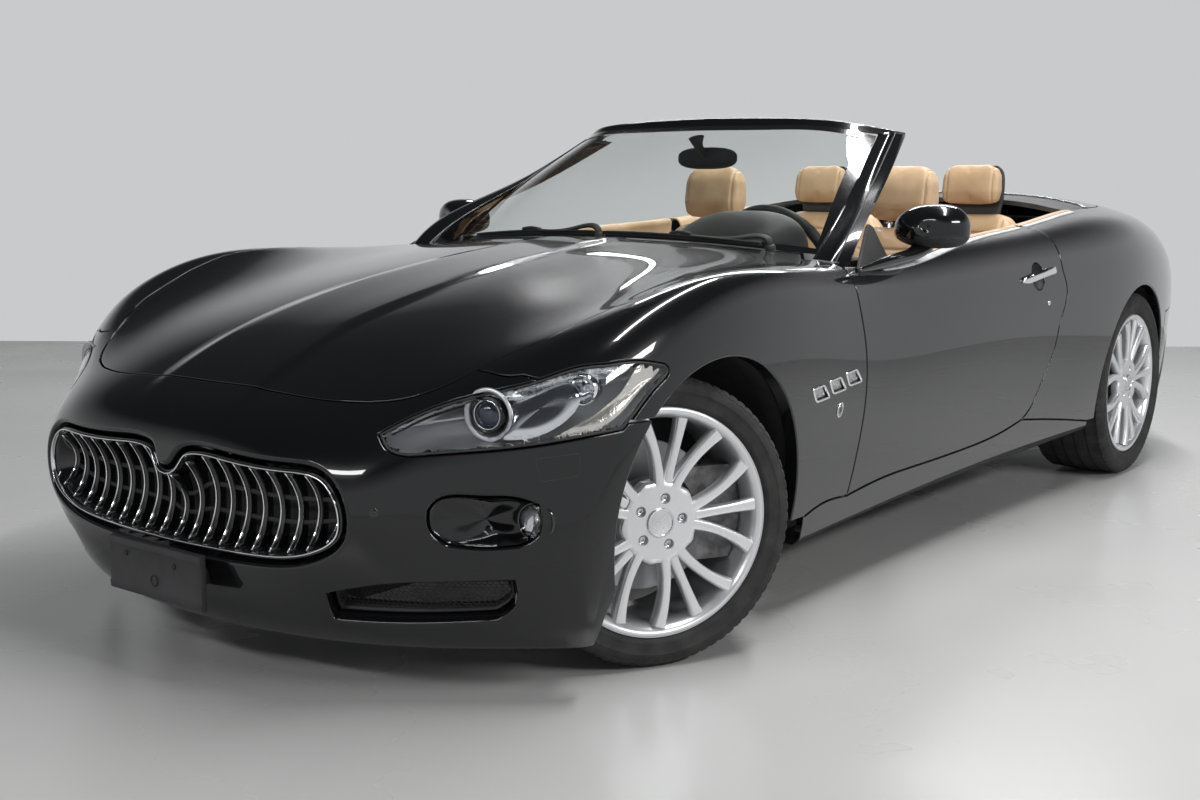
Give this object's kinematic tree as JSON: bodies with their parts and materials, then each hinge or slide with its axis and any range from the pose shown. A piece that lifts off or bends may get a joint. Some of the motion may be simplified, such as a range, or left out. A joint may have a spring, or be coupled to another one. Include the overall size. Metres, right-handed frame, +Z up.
{
  "type": "open touring car",
  "caption": "Open two-door car with four seats: opening doors, bonnet, boot lid and hood cover, steered front wheels, all wheels turning.",
  "frame": {"origin": "on the ground under the middle of the car", "axes": "+Z up, +Y towards the tail, +X towards the car's left side"},
  "size_m": [2.0598, 4.8819, 1.3287],
  "materials": {
    "black_paint": "gloss",
    "black_plastic": "grained",
    "cast_metal": "rough",
    "chrome": "polished",
    "lamp_glass": "clear",
    "red_lamp": "clear red",
    "rim_silver": "satin",
    "screen_glass": "clear",
    "tan_leather": "satin",
    "tyre": "matt"
  },
  "bodies": {
    "body": {"console": "black_plastic", "dashboard": "black_plastic", "engine_block": "cast_metal", "exhaust": "cast_metal", "fender_left": "black_paint", "fender_right": "black_paint", "front_axle": "cast_metal", "front_bumper": "black_paint", "grille": "chrome", "headlamp_left": "lamp_glass", "headlamp_right": "lamp_glass", "lower_grille": "black_plastic", "plate_bracket": "black_plastic", "quarter_left": "black_paint", "quarter_right": "black_paint", "rear_axle": "cast_metal", "rear_bumper": "black_paint", "rear_seats": "tan_leather", "seat_left": "tan_leather", "seat_right": "tan_leather", "sill_left": "black_paint", "sill_right": "black_paint", "tail_lamps": "red_lamp", "underbody": "black_plastic", "windscreen": "screen_glass", "windscreen_frame": "black_paint", "wipers": "black_plastic"},
    "hood": {"hood": "black_paint"},
    "trunk_lid": {"trunk_lid": "black_paint"},
    "tonneau_cover": {"tonneau_cover": "black_paint"},
    "door_left": {"door_left": "black_paint", "mirror_left": "black_paint"},
    "door_right": {"door_right": "black_paint", "mirror_right": "black_paint"},
    "steer_left": {"knuckle_front_left": "cast_metal"},
    "steer_right": {"knuckle_front_right": "cast_metal"},
    "wheel_front_left": {"rim_front_left": "rim_silver", "tyre_front_left": "tyre"},
    "wheel_front_right": {"rim_front_right": "rim_silver", "tyre_front_right": "tyre"},
    "wheel_rear_left": {"rim_rear_left": "rim_silver", "tyre_rear_left": "tyre"},
    "wheel_rear_right": {"rim_rear_right": "rim_silver", "tyre_rear_right": "tyre"},
    "steering_wheel": {"steering_wheel": "black_plastic"}
  },
  "joints": [
    {"name": "hood_hinge", "type": "hinge", "parent": "body", "child": "hood", "pos_m": [0, -0.731, 0.94], "axis": [-1, 0, 0], "range_deg": [0, 55]},
    {"name": "trunk_hinge", "type": "hinge", "parent": "body", "child": "trunk_lid", "pos_m": [0, 1.745, 1.09], "axis": [1, 0, 0], "range_deg": [0, 70]},
    {"name": "tonneau_hinge", "type": "hinge", "parent": "body", "child": "tonneau_cover", "pos_m": [0, 1.778, 1.106], "axis": [-1, 0, 0], "range_deg": [0, 50]},
    {"name": "door_left_hinge", "type": "hinge", "parent": "body", "child": "door_left", "pos_m": [0.932, -0.858, 0.6], "axis": [0, 0, -1], "range_deg": [0, 65]},
    {"name": "door_right_hinge", "type": "hinge", "parent": "body", "child": "door_right", "pos_m": [-0.932, -0.858, 0.6], "axis": [0, 0, 1], "range_deg": [0, 65]},
    {"name": "steer_left", "type": "hinge", "parent": "body", "child": "steer_left", "pos_m": [0.643, -1.5675, 0.34], "axis": [0, 0, 1], "range_deg": [-6, 62]},
    {"name": "steer_right", "type": "hinge", "parent": "body", "child": "steer_right", "pos_m": [-0.643, -1.5675, 0.34], "axis": [0, 0, 1], "range_deg": [-6, 62]},
    {"name": "spin_front_left", "type": "hinge", "parent": "steer_left", "child": "wheel_front_left", "pos_m": [0.77544, -1.63792, 0.34], "axis": [0.8829, -0.4695, 0], "continuous": true},
    {"name": "spin_front_right", "type": "hinge", "parent": "steer_right", "child": "wheel_front_right", "pos_m": [-0.77544, -1.49708, 0.34], "axis": [0.8829, -0.4695, 0], "continuous": true},
    {"name": "spin_rear_left", "type": "hinge", "parent": "body", "child": "wheel_rear_left", "pos_m": [0.795, 1.3745, 0.354], "axis": [1, 0, 0], "continuous": true},
    {"name": "spin_rear_right", "type": "hinge", "parent": "body", "child": "wheel_rear_right", "pos_m": [-0.795, 1.3745, 0.354], "axis": [1, 0, 0], "continuous": true},
    {"name": "steering_wheel_turn", "type": "hinge", "parent": "body", "child": "steering_wheel", "pos_m": [0.36385, -0.36608, 0.87035], "axis": [0, 0.9063, 0.4226], "range_deg": [-75, 760]}
  ],
  "couplings": [
    {"joint": "steer_right", "follows": "steer_left", "ratio": 1},
    {"joint": "steering_wheel_turn", "follows": "steer_left", "ratio": 12}
  ]
}
